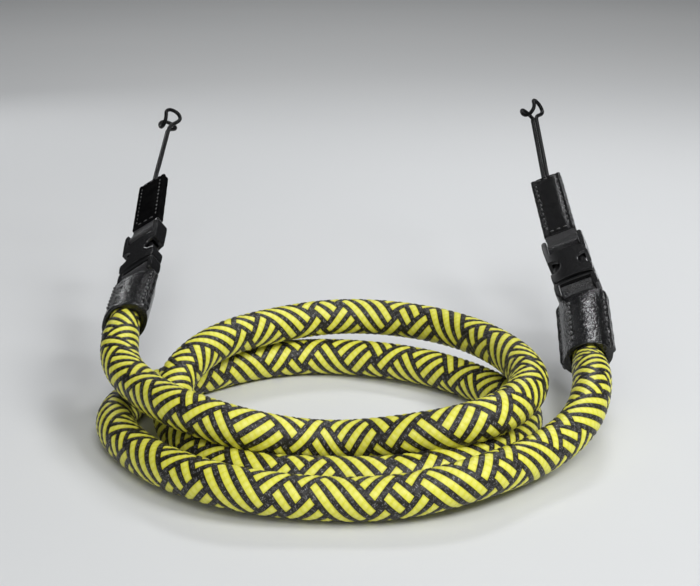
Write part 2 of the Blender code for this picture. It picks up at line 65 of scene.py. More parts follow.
class Wire:
    # one output socket, so that shader sums read like ordinary ones
    def __init__(self, finish, socket):
        self.finish = finish
        self.socket = socket

    def sums(self, operation, first, second=0.0, clamp=False):
        settings = {"operation": operation, "use_clamp": clamp}
        return self.finish.node("ShaderNodeMath", settings, [first, second])

    def __add__(self, other): return self.sums("ADD", self, other)
    def __radd__(self, other): return self.sums("ADD", other, self)
    def __sub__(self, other): return self.sums("SUBTRACT", self, other)
    def __rsub__(self, other): return self.sums("SUBTRACT", other, self)
    def __mul__(self, other): return self.sums("MULTIPLY", self, other)
    def __rmul__(self, other): return self.sums("MULTIPLY", other, self)
    def __pow__(self, other): return self.sums("POWER", self, other)
    def clamped(self): return self.sums("ADD", self, 0.0, clamp=True)
    def fraction(self): return self.sums("FRACT", self)
    def whole(self): return self.sums("FLOOR", self)


class Finish:
    def __init__(self, name, **fixed):
        self.material = bpy.data.materials.new(name)
        self.material.use_nodes = True
        self.tree = self.material.node_tree
        self.shader = self.tree.nodes["Principled BSDF"]
        for socket, value in fixed.items():
            self.shader.inputs[socket.replace("_", " ")].default_value = value

    def node(self, kind, settings=None, inputs=None, out=0):
        made = self.tree.nodes.new(kind)
        for key, value in (settings or {}).items():
            if key == "stops":
                ramp = made.color_ramp.elements
                while len(ramp) < len(value):
                    ramp.new(0.5)
                for element, (place, shade) in zip(ramp, value):
                    element.position = place
                    element.color = (shade, shade, shade, 1)
            else:
                setattr(made, key, value)
        pairs = inputs.items() if isinstance(inputs, dict) else enumerate(inputs or [])
        for key, value in pairs:
            self.feed(made.inputs[key], value)
        return Wire(self, made.outputs[out])

    def feed(self, socket, value):
        if isinstance(value, Wire):
            self.tree.links.new(value.socket, socket)
        else:
            socket.default_value = value

    def put(self, name, value):
        self.feed(self.shader.inputs[name], value)

    def objectMm(self):
        where = self.node("ShaderNodeTexCoord", out="Object")
        return self.node("ShaderNodeVectorMath", {"operation": "SCALE"}, {0: where, "Scale": 1000.0})

    def uv(self):
        return self.node("ShaderNodeTexCoord", out="UV")

    def noise(self, vector, scale, detail=3.0, roughness=0.55):
        inputs = {"Vector": vector, "Scale": scale, "Detail": detail, "Roughness": roughness}
        return self.node("ShaderNodeTexNoise", {}, inputs)

    def ramp(self, value, *stops):
        return self.node("ShaderNodeValToRGB", {"stops": stops}, [value])

    def blend(self, factor, first, second):
        inputs = {0: factor, 6: first, 7: second}
        return self.node("ShaderNodeMix", {"data_type": "RGBA"}, inputs, out=2)

    def split(self, vector):
        made = self.node("ShaderNodeSeparateXYZ", {}, [vector]).socket.node
        return [Wire(self, made.outputs[i]) for i in range(3)]

    def join(self, x, y, z=0.0):
        return self.node("ShaderNodeCombineXYZ", {}, [x, y, z])

    def bump(self, height, strength, distance):
        inputs = {"Height": height, "Strength": strength, "Distance": distance}
        self.put("Normal", self.node("ShaderNodeBump", {}, inputs))


def rgb(red, green, blue):
    return (red, green, blue, 1.0)


yarnLook = {
    "yellow": rgb(0.78, 0.75, 0.050), "yellowDeep": rgb(0.63, 0.61, 0.020),
    "yellowWornAndSheen": rgb(0.89, 0.88, 0.29), "yellowEdgeShade": rgb(0.50, 0.47, 0.006),
    "black": rgb(0.012, 0.011, 0.008), "blackCentreSheen": rgb(0.022, 0.018, 0.012),
    "blackGlint": rgb(0.42, 0.42, 0.43), "blackGrooveShade": rgb(0.003, 0.003, 0.003),
    "plies": 3.0, "plyLean": 0.35,  # plies across a strand, and their turns per mm along it
    "fibres": 13.0, "fibreRun": 1.6, "specks": 7.0, "speckRun": 2.2,
    "lightGloss": 0.5, "darkGloss": 0.35, "lightDull": 0.5, "darkDull": 0.36,
    "rise": 0.00010, "lightFuzz": 0.6, "darkFuzz": 1.4,
}


def yarnFinish(name, dark):
    # u runs along the strand in millimetres, v across it with the strand's number in front
    look = yarnLook
    finish = Finish(name, Specular_IOR_Level=look["darkGloss"] if dark else look["lightGloss"])
    along, across, _ = finish.split(finish.uv())
    strand = across.whole()
    across = across.fraction()
    ply = (along * look["plyLean"] + across * look["plies"]).fraction()
    plyRise = ply * (1 - ply) * 4
    fibrePlace = finish.join(along * look["fibreRun"], (across + strand * 3.7) * look["fibres"], strand)
    fibre = finish.noise(fibrePlace, 1.0, 4.0, 0.6)
    # the mesh carries how near a point is to a groove between strands
    groove = finish.node("ShaderNodeAttribute", {"attribute_name": "groove"}, out="Fac")
    cell = along.fraction()
    belly = cell * (1 - cell) * across * (1 - across) * 16  # 1 in the middle of each crossing
    if dark:
        speckPlace = finish.join(along * look["speckRun"], (across + strand * 3.1) * look["specks"], strand)
        speck = finish.noise(speckPlace, 1.0, 2.0, 0.6)
        # painted glints: pale specks painted on the dark yarn where it would catch the light
        glint = finish.ramp(speck + fibre * 0.3 + belly * 0.10, (0.0, 0.0), (0.76, 0.0), (0.98, 1.0))
        # painted highlight: the middle of each dark crossing is painted lighter, as if it caught the light
        body = finish.blend(belly * 0.5, look["black"], look["blackCentreSheen"])
        body = finish.blend(glint * 0.75, body, look["blackGlint"])
        # painted shade: the grooves between strands are painted near black
        colour = finish.blend(1 - groove ** 4.0, look["blackGrooveShade"], body)
        finish.put("Roughness", look["darkDull"] - glint * 0.1)
    else:
        blotch = finish.noise(finish.objectMm(), 0.35, 2.0)
        worn = finish.ramp(fibre, (0.0, 0.0), (0.55, 0.0), (0.8, 0.8))
        body = finish.blend(finish.ramp(fibre, (0.25, 0.0), (0.75, 1.0)), look["yellowDeep"], look["yellow"])
        body = finish.blend(worn, body, look["yellowWornAndSheen"])
        body = finish.blend(blotch * 0.25, body, look["yellowDeep"])
        # painted highlight: the middle of each yellow crossing is painted paler; the fibre blend above is pale
        # worn fibres
        body = finish.blend(belly * 0.42, body, look["yellowWornAndSheen"])
        # painted shade: the yellow is painted darker towards the grooves at its edges
        edge = (groove * 1.25 - 0.25).clamped()
        colour = finish.blend(edge ** 2.5 * 0.6, body, look["yellowEdgeShade"])
        finish.put("Roughness", look["lightDull"] - fibre * 0.16)
    finish.put("Base Color", colour)
    fuzz = look["darkFuzz"] if dark else look["lightFuzz"]
    finish.bump(plyRise * 0.35 + fibre * fuzz, 0.6, look["rise"])
    return finish.material


cordYarnLook = {
    # worn is the colour of the painted glints, groove the painted shade at each strand's sides
    "core": rgb(0.003, 0.003, 0.0035), "worn": rgb(0.014, 0.014, 0.014), "groove": rgb(0.003, 0.003, 0.003),
    "gloss": 0.12, "dull": 0.45, "rise": 0.00006,
}


def cordFinish():
    look = cordYarnLook
    finish = Finish("thin_cord", Specular_IOR_Level=look["gloss"])
    along, across, _ = finish.split(finish.uv())
    strand = across.whole()
    across = across.fraction()
    fibre = finish.noise(finish.join(along * 2.0, (across + strand * 2.3) * 8.0, strand), 1.0, 3.0)
    rim = (across * (1 - across) * 7).clamped()
    # painted glints: pale specks on the black cord stand in for the light it catches
    glint = finish.ramp(fibre, (0.0, 0.0), (0.5, 0.0), (0.72, 1.0))
    body = finish.blend(glint * 0.5, look["core"], look["worn"])
    # painted shade: each strand is painted darker towards its sides
    finish.put("Base Color", finish.blend(rim, look["groove"], body))
    finish.put("Roughness", look["dull"] - fibre * 0.2)
    finish.bump(fibre + rim * 0.5, 0.5, look["rise"])
    return finish.material


leatherLook = {
    "face": (0.0045, 0.0045, 0.005), "rubbed": (0.013, 0.013, 0.013), "crease": rgb(0.002, 0.002, 0.002),
}
# grain is in pebbles per mm, rise its depth in metres, and tone how many times lighter than the sleeve
leatherKinds = {
    "sleeve_leather": {"dull": 0.18, "rise": 0.00006, "grain": 1.15, "gloss": 0.5, "tone": 1.0},
    "left_tab_leather": {"dull": 0.22, "rise": 0.00004, "grain": 1.4, "gloss": 0.0, "tone": 1.0},
    "right_tab_leather": {"dull": 0.22, "rise": 0.00005, "grain": 1.4, "gloss": 0.16, "tone": 1.0},
    "strip_leather": {"dull": 0.36, "rise": 0.00028, "grain": 2.3, "gloss": 0.5, "tone": 5.0},
}


def leatherFinish(name):
    # pebbled grain, finer creases between the pebbles, and a slow change of wear
    look, kind = leatherLook, leatherKinds[name]
    finish = Finish(name, Specular_IOR_Level=kind["gloss"])
    where = finish.objectMm()
    warp = finish.noise(where, 1.2, 2.0)
    moved = finish.node("ShaderNodeVectorMath", {"operation": "ADD"}, [where, warp])
    crease = finish.node("ShaderNodeTexVoronoi", {"feature": "DISTANCE_TO_EDGE"},
                         {"Vector": moved, "Scale": kind["grain"]})
    pebble = (crease * 3.2).clamped()
    dome = finish.node("ShaderNodeTexVoronoi", {"feature": "SMOOTH_F1"},
                       {"Vector": moved, "Scale": kind["grain"] * 1.3, "Smoothness": 0.2})
    pore = finish.noise(where, 3.0, 2.0)
    wear = finish.noise(where, 0.22, 4.0, 0.6)
    rubbed = finish.ramp(wear, (0.38, 0.0), (0.72, 1.0))
    face, worn = (rgb(*(kind["tone"] * part for part in look[key])) for key in ("face", "rubbed"))
    colour = finish.blend(rubbed * 0.5, face, worn)
    # painted shade: the creases between the pebbles are painted darker
    finish.put("Base Color", finish.blend(pebble * 0.6 + 0.4, look["crease"], colour))
    finish.put("Roughness", kind["dull"] + rubbed * 0.07 - pebble * 0.04)
    finish.bump(pebble * 0.25 - dome * dome * 2.2 + pore * 0.5 + wear * 0.8, 0.9, kind["rise"])
    return finish.material


threadLook = {
    "shade": rgb(0.010, 0.010, 0.011), "worn": rgb(0.09, 0.09, 0.09), "dull": 0.4, "twists": 5.0,
    "rise": 0.0001,
}


def threadFinish():
    look = threadLook
    finish = Finish("thread", Roughness=look["dull"])
    twist = finish.noise(finish.objectMm(), look["twists"], 2.0)
    finish.put("Base Color", finish.blend(twist, look["shade"], look["worn"]))
    finish.bump(twist, 0.6, look["rise"])
    return finish.material


plasticLook = {
    "shade": rgb(0.006, 0.006, 0.0065), "worn": rgb(0.012, 0.012, 0.0125), "rise": 0.00006,
    "left": {"gloss": 0.45, "dull": 0.09}, "right": {"gloss": 0.4, "dull": 0.14},
}


def plasticFinish(side):
    # moulded plastic: faint pitting and slightly dulled patches
    look = plasticLook
    finish = Finish(side + "_plastic", Specular_IOR_Level=look[side]["gloss"])
    where = finish.objectMm()
    pits = finish.noise(where, 6.0, 3.0, 0.6)
    slow = finish.noise(where, 0.35, 3.0)
    finish.put("Base Color", finish.blend(slow, look["shade"], look["worn"]))
    finish.put("Roughness", slow * 0.04 + pits * 0.03 + look[side]["dull"])
    finish.bump(pits + slow * 0.6, 0.10, look["rise"])
    return finish.material


floorLook = {
    "height": -52.0, "drop": 0.15,  # millimetres: where the rope lies, and the floor a little under it
    "middle": 0.06, "side": 2.4, "dull": 0.75, "rise": 0.0002,
    "shade": rgb(0.66, 0.675, 0.685), "pale": rgb(0.70, 0.71, 0.715),
}


def floorFinish():
    look = floorLook
    finish = Finish("floor", Roughness=look["dull"])
    where = finish.objectMm()
    slow = finish.noise(where, 0.004, 3.0)
    fine = finish.noise(where, 0.8, 2.0)
    finish.put("Base Color", finish.blend(slow, look["shade"], look["pale"]))
    finish.bump(fine, 0.05, look["rise"])
    return finish.material


spanSteps = 40  # fine points between two given ones, before a line is spaced evenly


def smoothLine(points, step):
    # the natural cubic through the points, then points every step or so along it
    points = np.array(points, float)
    chords = np.linalg.norm(np.diff(points, axis=0), axis=1)
    knots = np.concatenate([[0.0], np.cumsum(np.sqrt(chords))])
    gaps = np.diff(knots)
    count = len(points)
    system = np.eye(count)
    right = np.zeros_like(points)
    for i in range(1, count - 1):
        system[i, i - 1:i + 2] = gaps[i - 1], 2 * (gaps[i - 1] + gaps[i]), gaps[i]
        right[i] = 6 * ((points[i + 1] - points[i]) / gaps[i] - (points[i] - points[i - 1]) / gaps[i - 1])
    bends = np.linalg.solve(system, right)
    fine = []
    for i, gap in enumerate(gaps):
        for b in np.linspace(0.0, 1.0, spanSteps, endpoint=False):
            a = 1.0 - b
            bow = ((a ** 3 - a) * bends[i] + (b ** 3 - b) * bends[i + 1]) * gap * gap / 6
            fine.append(a * points[i] + b * points[i + 1] + bow)
    fine = np.array(fine + [points[-1]])
    along = lengthsAlong(fine)
    stops = np.linspace(0.0, along[-1], max(2, round(along[-1] / step) + 1))
    return np.stack([np.interp(stops, along, fine[:, k]) for k in range(3)], axis=1)


def lengthsAlong(points):
    return np.concatenate([[0.0], np.cumsum(np.linalg.norm(np.diff(points, axis=0), axis=1))])


def carriedFrame(points, up):
    # directions along, up and aside at each point, carried along without twist
    ahead = np.gradient(points, axis=0)
    ahead /= np.linalg.norm(ahead, axis=1)[:, None]
    ups = np.zeros_like(points)
    now = np.array(up, float)
    for i, way in enumerate(ahead):
        now = now - way * (now @ way)
        now /= np.linalg.norm(now)
        ups[i] = now
    return ahead, ups, np.cross(ahead, ups)


def meshPiece(name, points, faces, materials, faceMaterial=None, uvs=None, sharp=None):
    data = bpy.data.meshes.new(name)
    data.from_pydata([tuple(p) for p in points], [], [tuple(int(k) for k in f) for f in faces])
    for material in materials:
        data.materials.append(material)
    if faceMaterial is not None:
        data.polygons.foreach_set("material_index", np.asarray(faceMaterial, np.int32))
    if uvs is not None:
        data.uv_layers.new(name="strand").data.foreach_set("uv", np.asarray(uvs, np.float32).ravel())
    data.shade_smooth()
    if sharp:
        data.set_sharp_from_angle(angle=math.radians(sharp))
    data.update()
    thing = bpy.data.objects.new(name, data)
    scene.collection.objects.link(thing)
    return thing


uvInset = 0.02  # keeps a face's corners off the whole numbers that part the strands


def braidSkin(name, line, up, radii, strands, phases, colours, relief, materials):
    # A plain weave of left and right strands on the skin of the line. Whole numbers of the two phases
    # are the strand edges, so every strand crossing is a diamond, split evenly into small faces.
    split = relief["split"]
    along = lengthsAlong(line)
    ahead, ups, aside = carriedFrame(line, up)
    first, second = phases(along)
    total, lean = first + second, first - second
    low, high = math.ceil(split * total[0]), math.floor(split * total[-1])
    levels = np.arange(low, high + 1)
    ringHalf = split * strands
    slots = np.arange(ringHalf)
    across = 2 * slots[None, :] + (levels[:, None] % 2)
    a = (levels[:, None] + across) // 2
    b = (levels[:, None] - across) // 2
    groove, shiftA, shiftB = neighboursAt(a, b, split, strands, colours)
    shiftA, shiftB = (shift * relief["lightSpread"] * split for shift in (shiftA, shiftB))
    where = np.interp((levels[:, None] + shiftA + shiftB) / split, total, along)
    centre, upHere, asideHere = (
        np.stack([np.interp(where, along, track[:, k]) for k in range(3)], -1) for track in (line, ups, aside))
    turn = math.pi / strands * ((across + shiftA - shiftB) / split - np.interp(where, along, lean))
    onEdge = (a % split == 0).astype(int) + (b % split == 0).astype(int)
    rise = np.choose(onEdge, (relief["crown"], relief["edge"], relief["corner"])) * groove
    rise = rise + (1 - groove) * np.choose(onEdge, (relief["crown"], relief["sameEdge"], relief["sameEdge"]))
    out = np.cos(turn)[..., None] * upHere + np.sin(turn)[..., None] * asideHere
    points = centre + out * (radii(where) + rise)[..., None]

    def index(level, step):
        step = step % (2 * ringHalf)
        return (level - low) * ringHalf + (step - level % 2) // 2

    level = np.repeat(levels[:-2], ringHalf)
    step = across[:-2].ravel()
    corners = ((0, 0), (1, 1), (2, 0), (1, -1))
    faces = np.stack([index(level + rows, step + over) for rows, over in corners], 1)
    a, b = (level + step) // 2, (level - step) // 2
    i, j = a // split, b // split
    leftOver = (i + j) % 2 == 0
    left, right = colours
    isLight = np.where(leftOver, np.array(left)[i % strands], np.array(right)[j % strands])
    shareA = np.stack([a, a + 1, a + 1, a], 1) / split
    shareB = np.stack([b, b, b + 1, b + 1], 1) / split
    inA = (shareA - i[:, None]) * (1 - 2 * uvInset) + uvInset
    inB = (shareB - j[:, None]) * (1 - 2 * uvInset) + uvInset
    run = np.where(leftOver[:, None], inB + (j % strands)[:, None], inA + (i % strands)[:, None])
    side = np.where(leftOver[:, None], inA + (i % strands)[:, None], inB + (strands + j % strands)[:, None])
    uvs = np.stack([run, side], 2)
    thing = meshPiece(name, points.reshape(-1, 3), faces, materials, 1 - isLight, uvs)
    depth = (groove * (onEdge > 0)).ravel().astype(np.float32)
    thing.data.attributes.new("groove", "FLOAT", "POINT").data.foreach_set("value", depth)
    return thing


def neighboursAt(a, b, split, strands, colours):
    # How deep the groove is: 1 where strands of two colours part, 0.9 between dark ones, and little between
    # light ones, so that bands run on. And how far each way an edge moves over, so that light strands
    # cover a little of the dark ones.
    left, right = (np.array(side) for side in colours)
    lights = {}
    for da in (0, 1):
        for db in (0, 1):
            i = (a - da * (a % split == 0)) // split
            j = (b - db * (b % split == 0)) // split
            lights[da, db] = np.where((i + j) % 2 == 0, left[i % strands], right[j % strands])
    share = sum(lights.values()) / 4
    groove = np.where(share == 1, 0.2, np.where(share == 0, 0.9, 1.0))
    shiftA = np.clip(lights[1, 0] + lights[1, 1] - lights[0, 0] - lights[0, 1], -1, 1)
    shiftB = np.clip(lights[0, 1] + lights[1, 1] - lights[0, 0] - lights[1, 0], -1, 1)
    return groove, shiftA, shiftB


# how each end hangs, from its eye down: length, pitch, heading and roll of each part
ends = {
    "left": {"eye": (0.0, 0.0, 0.0), "cord": (43.0, 17.9, -1.5, 62.0), "tab": (33.0, 11.2, 3.5, 31.0),
             "buckle": (34.5, 13.9, 1.9, 35.0), "sleeve": (29.0, 4.8, 1.2, 37.0)},
    "right": {"eye": (127.1, 0.0, 3.3), "cord": (50.0, 16.0, -1.3, 45.0), "tab": (33.0, 18.0, 1.5, 24.0),
              "buckle": (34.5, 16.7, 2.9, 24.0), "sleeve": (29.0, 16.6, -4.1, 26.0)},
}


def hangingFrames(hang):
    # each length hangs from the foot of the one before
    top = Vector(hang["eye"])
    places = {}
    for part in ("cord", "tab", "buckle", "sleeve"):
        length, pitch, heading, roll = hang[part]
        turn = Matrix.Rotation(math.radians(heading), 4, "Z") @ Matrix.Rotation(math.radians(pitch), 4, "X")
        places[part] = Matrix.Translation(top) @ turn @ Matrix.Rotation(math.radians(-roll), 4, "Y")
        top = places[part] @ Vector((0.0, -length, 0.0))
    return places


places = {side: hangingFrames(hang) for side, hang in ends.items()}

# the rope's route between the sleeves: x, y and height over the floor
ropeWay = (
    (4, -153, 17.5), (13, -170, 15.5), (24, -184.5, 16), (41, -191.5, 13.5), (58.5, -188.5, 10),
    (77, -192, 13), (94.5, -189.5, 16), (105.5, -174.5, 16.5), (107.5, -156, 16), (102.5, -137.5, 15.5),
    (92.5, -121.5, 15), (77, -111.5, 15), (58, -111, 15.5), (41.5, -119, 15.5), (27.5, -131.5, 15),
    (18, -146.5, 10.5), (18.5, -164.5, 5.5), (25.5, -181.5, 5.4), (38, -196, 5.6), (55.5, -199.5, 5.6),
    (75, -199.5, 6), (91.5, -191, 6.2), (102.5, -176, 5.4), (107, -158, 5), (100.5, -141, 5),
    (87, -127.5, 5.5), (71, -119, 5.5), (52, -115, 5), (35, -120.5, 5), (20, -132.5, 5),
    (7.5, -146, 5), (4, -164.5, 5), (11.5, -182, 5), (22.5, -196.5, 6), (38, -207.5, 6.5),
    (56.5, -210.5, 5.5), (75.5, -210, 6), (92.5, -203.5, 7.5), (106.5, -190.5, 7),
    (118.5, -177, 10), (124.5, -159, 13.5),
)
ropeLook = {
    "diameter": 9.8, "seatDiameter": 8.2, "seatDepth": 20.0, "flare": 9.0, "strands": 12, "step": 0.5,
    "leftStrands": "BYBYBYBBYBBY", "rightStrands": "BYBBYBYBBYBY",  # once round, black and yellow
    # faces across a crossing, how far the skin stands out inside one, at its edges and corners, and
    # at edges within one colour, and how far yellow strands spread over black ones
    "relief": {"split": 3, "crown": 0.09, "edge": -0.11, "corner": -0.14,
               "sameEdge": 0.05, "lightSpread": 0.06},
    # how many strands each set has run ahead of one turn per pitch, at stations along the rope
    "stationGap": 24.0, "pitch": 23.5,
    "leftLag": (
        3.48, 1.35, 2.28, 1.42, 1.06, 0.88, 0.24, 1.62, -0.29, -2.55, -4.72, -6.23, -8.14, -8.55, -8.57, -9.37,
        -10.27, -11.08, -11.83, -12.86, -14.81, -14.9, -15.46, -16.81, -18.78, -18.67, -18.05, -19.64, -20.9,
        -21.02, -21.43, -21.79, -21.37, -20.98, -21.07,
    ),
    "rightLag": (
        4.14, 5.29, 6.51, 5.66, 6.77, 5.48, 5.25, 6.56, 4.78, 2.72, 1.02, -0.23, -1.3, -0.96, -0.01, -1.83,
        -2.83, -2.93, -3.74, -4.03, -5.05, -4.61, -4.74, -5.39, -6.53, -6.64, -6.88, -7.67, -9.04,
        -8.99, -9.13, -9.18, -9.89, -10.43, -10.93,
    ),
}


def ropeLine():
    def seat(place, depth):
        return place @ Vector((0.0, -ends["left"]["sleeve"][0] + depth, 0.0))

    depths = (ropeLook["seatDepth"], ropeLook["seatDepth"] / 2, 0.0)
    way = [seat(places["left"]["sleeve"], depth) for depth in depths]
    way += [(x, y, height + floorLook["height"]) for x, y, height in ropeWay]
    way += [seat(places["right"]["sleeve"], depth) for depth in depths[::-1]]
    return smoothLine(way, ropeLook["step"])


def makeRope():
    look = ropeLook
    line = ropeLine()
    whole = lengthsAlong(line)[-1]

    def radii(along):
        out = np.minimum(along, whole - along) - look["seatDepth"]
        flare = np.clip(out / look["flare"], 0.0, 1.0)
        return (look["seatDiameter"] + (look["diameter"] - look["seatDiameter"]) * flare) / 2

    def phases(along):
        base = along * look["strands"] / look["pitch"]
        stations = np.arange(len(look["leftLag"])) * look["stationGap"]
        return [base + easyBetween(along, stations, lag) for lag in (look["leftLag"], look["rightLag"])]

    colours = [[int(c == "Y") for c in look[key]] for key in ("leftStrands", "rightStrands")]
    yarns = [yarnFinish("yellow_yarn", False), yarnFinish("black_yarn", True)]
    rope = braidSkin("braided_rope", line * mm, (0, 0, 1), lambda s: radii(s / mm) * mm, look["strands"],
                     lambda s: phases(s / mm), colours, scaledRelief(look["relief"]), yarns)
    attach(rope, "root")
    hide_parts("rope")
    tuple(line[0] * mm)
    [tuple(p * mm) for p in line[::4]] + [tuple(line[-1] * mm)]
    print("rope:", round(whole, 1), "mm,", len(rope.data.polygons), "faces")


def scaledRelief(relief):
    lengths = ("crown", "edge", "corner", "sameEdge")
    return {key: value * mm if key in lengths else value for key, value in relief.items()}


def easyBetween(at, stations, values):
    # smooth curve through the values at evenly spaced stations
    gap = stations[1] - stations[0]
    values = np.array(values, float)
    slope = np.gradient(values)
    place = np.clip(at / gap, 0, len(values) - 1.001)
    i = place.astype(int)
    t = place - i
    a, b, c, d = values[i], values[i + 1], slope[i], slope[i + 1]
    return a + t * c + t * t * (3 * (b - a) - 2 * c - d) + t ** 3 * (2 * (a - b) + c + d)


makeRope()

cordLook = {
    "diameter": 1.3, "gap": 0.25, "eye": 3.9, "seatDepth": 6.0, "clearance": 0.3, "strands": 8, "pitch": 4.4,
    "footDrop": 1.65, "footSpread": 0.30, "runGap": 9.6, "lowRoom": 1.5, "freeStep": 0.4, "hitchStep": 0.25,
    "leastStep": 0.05,
    "relief": {"split": 2, "crown": 0.03, "edge": -0.035, "corner": -0.06,
               "sameEdge": -0.035, "lightSpread": 0.0},
    # one half of the hitch round the eye: across, along and depth as shares of the eye's reach
    "hitch": (
        (0.34, -2.3, -0.05), (0.45, -1.45, -0.35), (0.62, -0.70, -0.80), (0.78, 0.10, -1.02),
        (0.92, 0.80, -0.68), (1.0, 1.05, 0.0), (1.04, 0.75, 0.72), (1.05, 0.0, 1.05),
        (1.0, -0.75, 0.98), (0.62, -1.42, 0.82),
    ),
    "bight": (0.0, -1.68, 0.75),
}


def strandLine(side, place, length, tabPlace):
    look = cordLook
    reach = (look["eye"] + look["diameter"]) / 2
    knotFoot = -look["footDrop"] * (look["eye"] + look["diameter"])
    strand = (look["diameter"] + look["gap"]) / 2
    hitch = ((look["footSpread"], knotFoot / reach, 0.0), *look["hitch"])
    knot = [Vector((side * max(strand, x * reach), y * reach, z * reach)) for x, y, z in hitch]
    knot.append(Vector(look["bight"]) * reach)
    seats = (-look["seatDepth"] + look["clearance"], -look["seatDepth"] / 2)
    seated = [tabPlace @ Vector((side * strand, depth, 0.0)) for depth in seats]
    runs = max(2, round((length + knot[0].y) / look["runGap"]))
    lowest = -length + look["lowRoom"] * look["diameter"]
    rise = (knot[0].y - lowest) / runs
    free = [place @ Vector((side * strand, lowest + rise * i, 0.0)) for i in range(runs)]
    knot = [place @ spot for spot in knot]
    straight = smoothLine(seated + free + knot[:1], look["freeStep"])
    wound = smoothLine(free[-1:] + knot, look["hitchStep"])
    inverse = place.inverted()
    start = next(i for i, spot in enumerate(wound) if (inverse @ Vector(spot)).y > knotFoot)
    return [*straight[:-1], *wound[start:]]


def makeThinCord(side, finish):
    look = cordLook
    spot = places[side]
    right = strandLine(1, spot["cord"], ends[side]["cord"][0], spot["tab"])
    left = strandLine(-1, spot["cord"], ends[side]["cord"][0], spot["tab"])
    line = np.array(right + left[-2::-1])
    apart = np.linalg.norm(np.diff(line, axis=0), axis=1) > look["leastStep"]
    line = line[np.concatenate([[True], apart])]
    turns = look["strands"] / look["pitch"] / mm
    colours = [[1] * look["strands"]] * 2
    cord = braidSkin(side + "_thin_cord", line * mm, (0, 0, 1), lambda s: 0 * s + look["diameter"] / 2 * mm,
                     look["strands"], lambda s: (s * turns, s * turns), colours,
                     scaledRelief(look["relief"]), [finish])
    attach(cord, "root")
    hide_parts(side + "_cord_loop")


thinCord = cordFinish()
for side in ends:
    makeThinCord(side, thinCord)


def ringFaces(rings, count):
    faces = []
    for r in range(rings - 1):
        for k in range(count):
            n = (k + 1) % count
            faces.append((r * count + k, r * count + n, (r + 1) * count + n, (r + 1) * count + k))
    return faces


def loopsMesh(place, loops, closeEnd=True):
    # closed rings of points, joined one to the next
    loops = np.array(loops, float)
    rings, count, _ = loops.shape
    points = [(place @ Vector(p)) * mm for p in loops.reshape(-1, 3)]
    faces = ringFaces(rings, count)
    faces.append(tuple(range(count))[::-1])
    if closeEnd:
        faces.append(tuple((rings - 1) * count + k for k in range(count)))
    return points, faces


creaseAngle = 50  # degrees over which a leather edge looks sharp


def outwardPiece(name, points, faces, materials, faceMaterial=None, sharp=None):
    thing = meshPiece(name, points, faces, materials, faceMaterial, None, sharp)
    shape = bmesh.new()
    shape.from_mesh(thing.data)
    bmesh.ops.recalc_face_normals(shape, faces=shape.faces)
    shape.to_mesh(thing.data)
    shape.free()
    return thing


def addMesh(store, points, faces, material):
    base = len(store["points"])
    store["points"] += list(points)
    store["faces"] += [tuple(base + k for k in f) for f in faces]
    store["kinds"] += [material] * len(faces)


def newStore():
    return {"points": [], "faces": [], "kinds": []}


def gauss(value, width):
    return math.exp(-(value / width) ** 2)


def waves(y, rows, lean=1.0):
    # hand-made unevenness: a sum of slow waves, each a size, a rate and a shift
    return sum(size * math.sin(y * rate + shift * lean) for size, rate, shift in rows)


beadLook = {"rings": 7, "around": 8, "dive": 0.9}


def stitchMesh(place, centre, ahead, out, length, width, height):
    # one thread seen between two holes: a long bead that dives at both ends
    ahead, out = Vector(ahead).normalized(), Vector(out).normalized()
    aside = ahead.cross(out)
    points = []
    rings, around = beadLook["rings"], beadLook["around"]
    for r in range(rings):
        t = r / (rings - 1)
        swell = math.sqrt(max(0.0, 1 - (2 * t - 1) ** 2)) * 0.75 + 0.25 * (1 - abs(2 * t - 1))
        dive = -height * beadLook["dive"] * (2 * t - 1) ** 4
        for k in range(around):
            turn = 2 * math.pi * k / around
            lift = math.sin(turn) * height / 2 * swell + dive
            offset = aside * math.cos(turn) * width / 2 * swell + out * lift
            points.append((place @ (Vector(centre) + ahead * (t - 0.5) * length + offset)) * mm)
    return points, ringFaces(rings, around)


def closedLoop(front, bulge, share):
    # a rounded edge at each side joins the front to its mirror image at the back
    half, y, edge = front[-1]
    rim = [(half + bulge, y, edge * share), (half - 0.1, y, 0.0), (half + bulge, y, -edge * share)]
    back = [(x, y, -z) for x, y, z in front[::-1]]
    return front + rim + back + [(-x, y, -z) for x, y, z in rim]


leathers = {name: leatherFinish(name) for name in leatherKinds}
thread = threadFinish()


def stitchedPiece(name, store, leather):
    return outwardPiece(name, store["points"], store["faces"], [leather, thread], store["kinds"], creaseAngle)


tabLook = {
    "width": 9.8, "length": 33.0, "edge": 2.7, "crown": 3.45, "end": 2.75, "seam": 1.45, "endSeam": 1.6,
    "crownShare": 0.74, "crownPower": 3.4, "seamDepth": 0.20, "seamSpread": 0.36,
    "edgeDrop": 0.28, "edgeBand": 0.1, "bulge": 0.06, "bulgeShare": 0.55,
    "columns": 33, "crowding": 0.35, "rows": 56, "firstRow": 1.8,
    "wobble": ((0.05, 0.9, 0.0), (0.04, 2.1, 1.0)),
    # how the ends round off: y, how much narrower, and the share of the thickness
    "rounding": ((0.0, 0.30, 0.62), (-0.12, 0.12, 0.84), (-0.4, 0.02, 0.97), (-0.9, 0.0, 1.0)),
    # a stitch is its length, width and height
    "stitch": (2.0, 0.5, 0.42), "stitchGap": 2.75, "stitchLift": 0.04, "stitchMargin": 3.0, "stitchLean": 0.06,
    "endStitch": (1.7, 0.5, 0.42), "endStitchGap": 2.1,
}


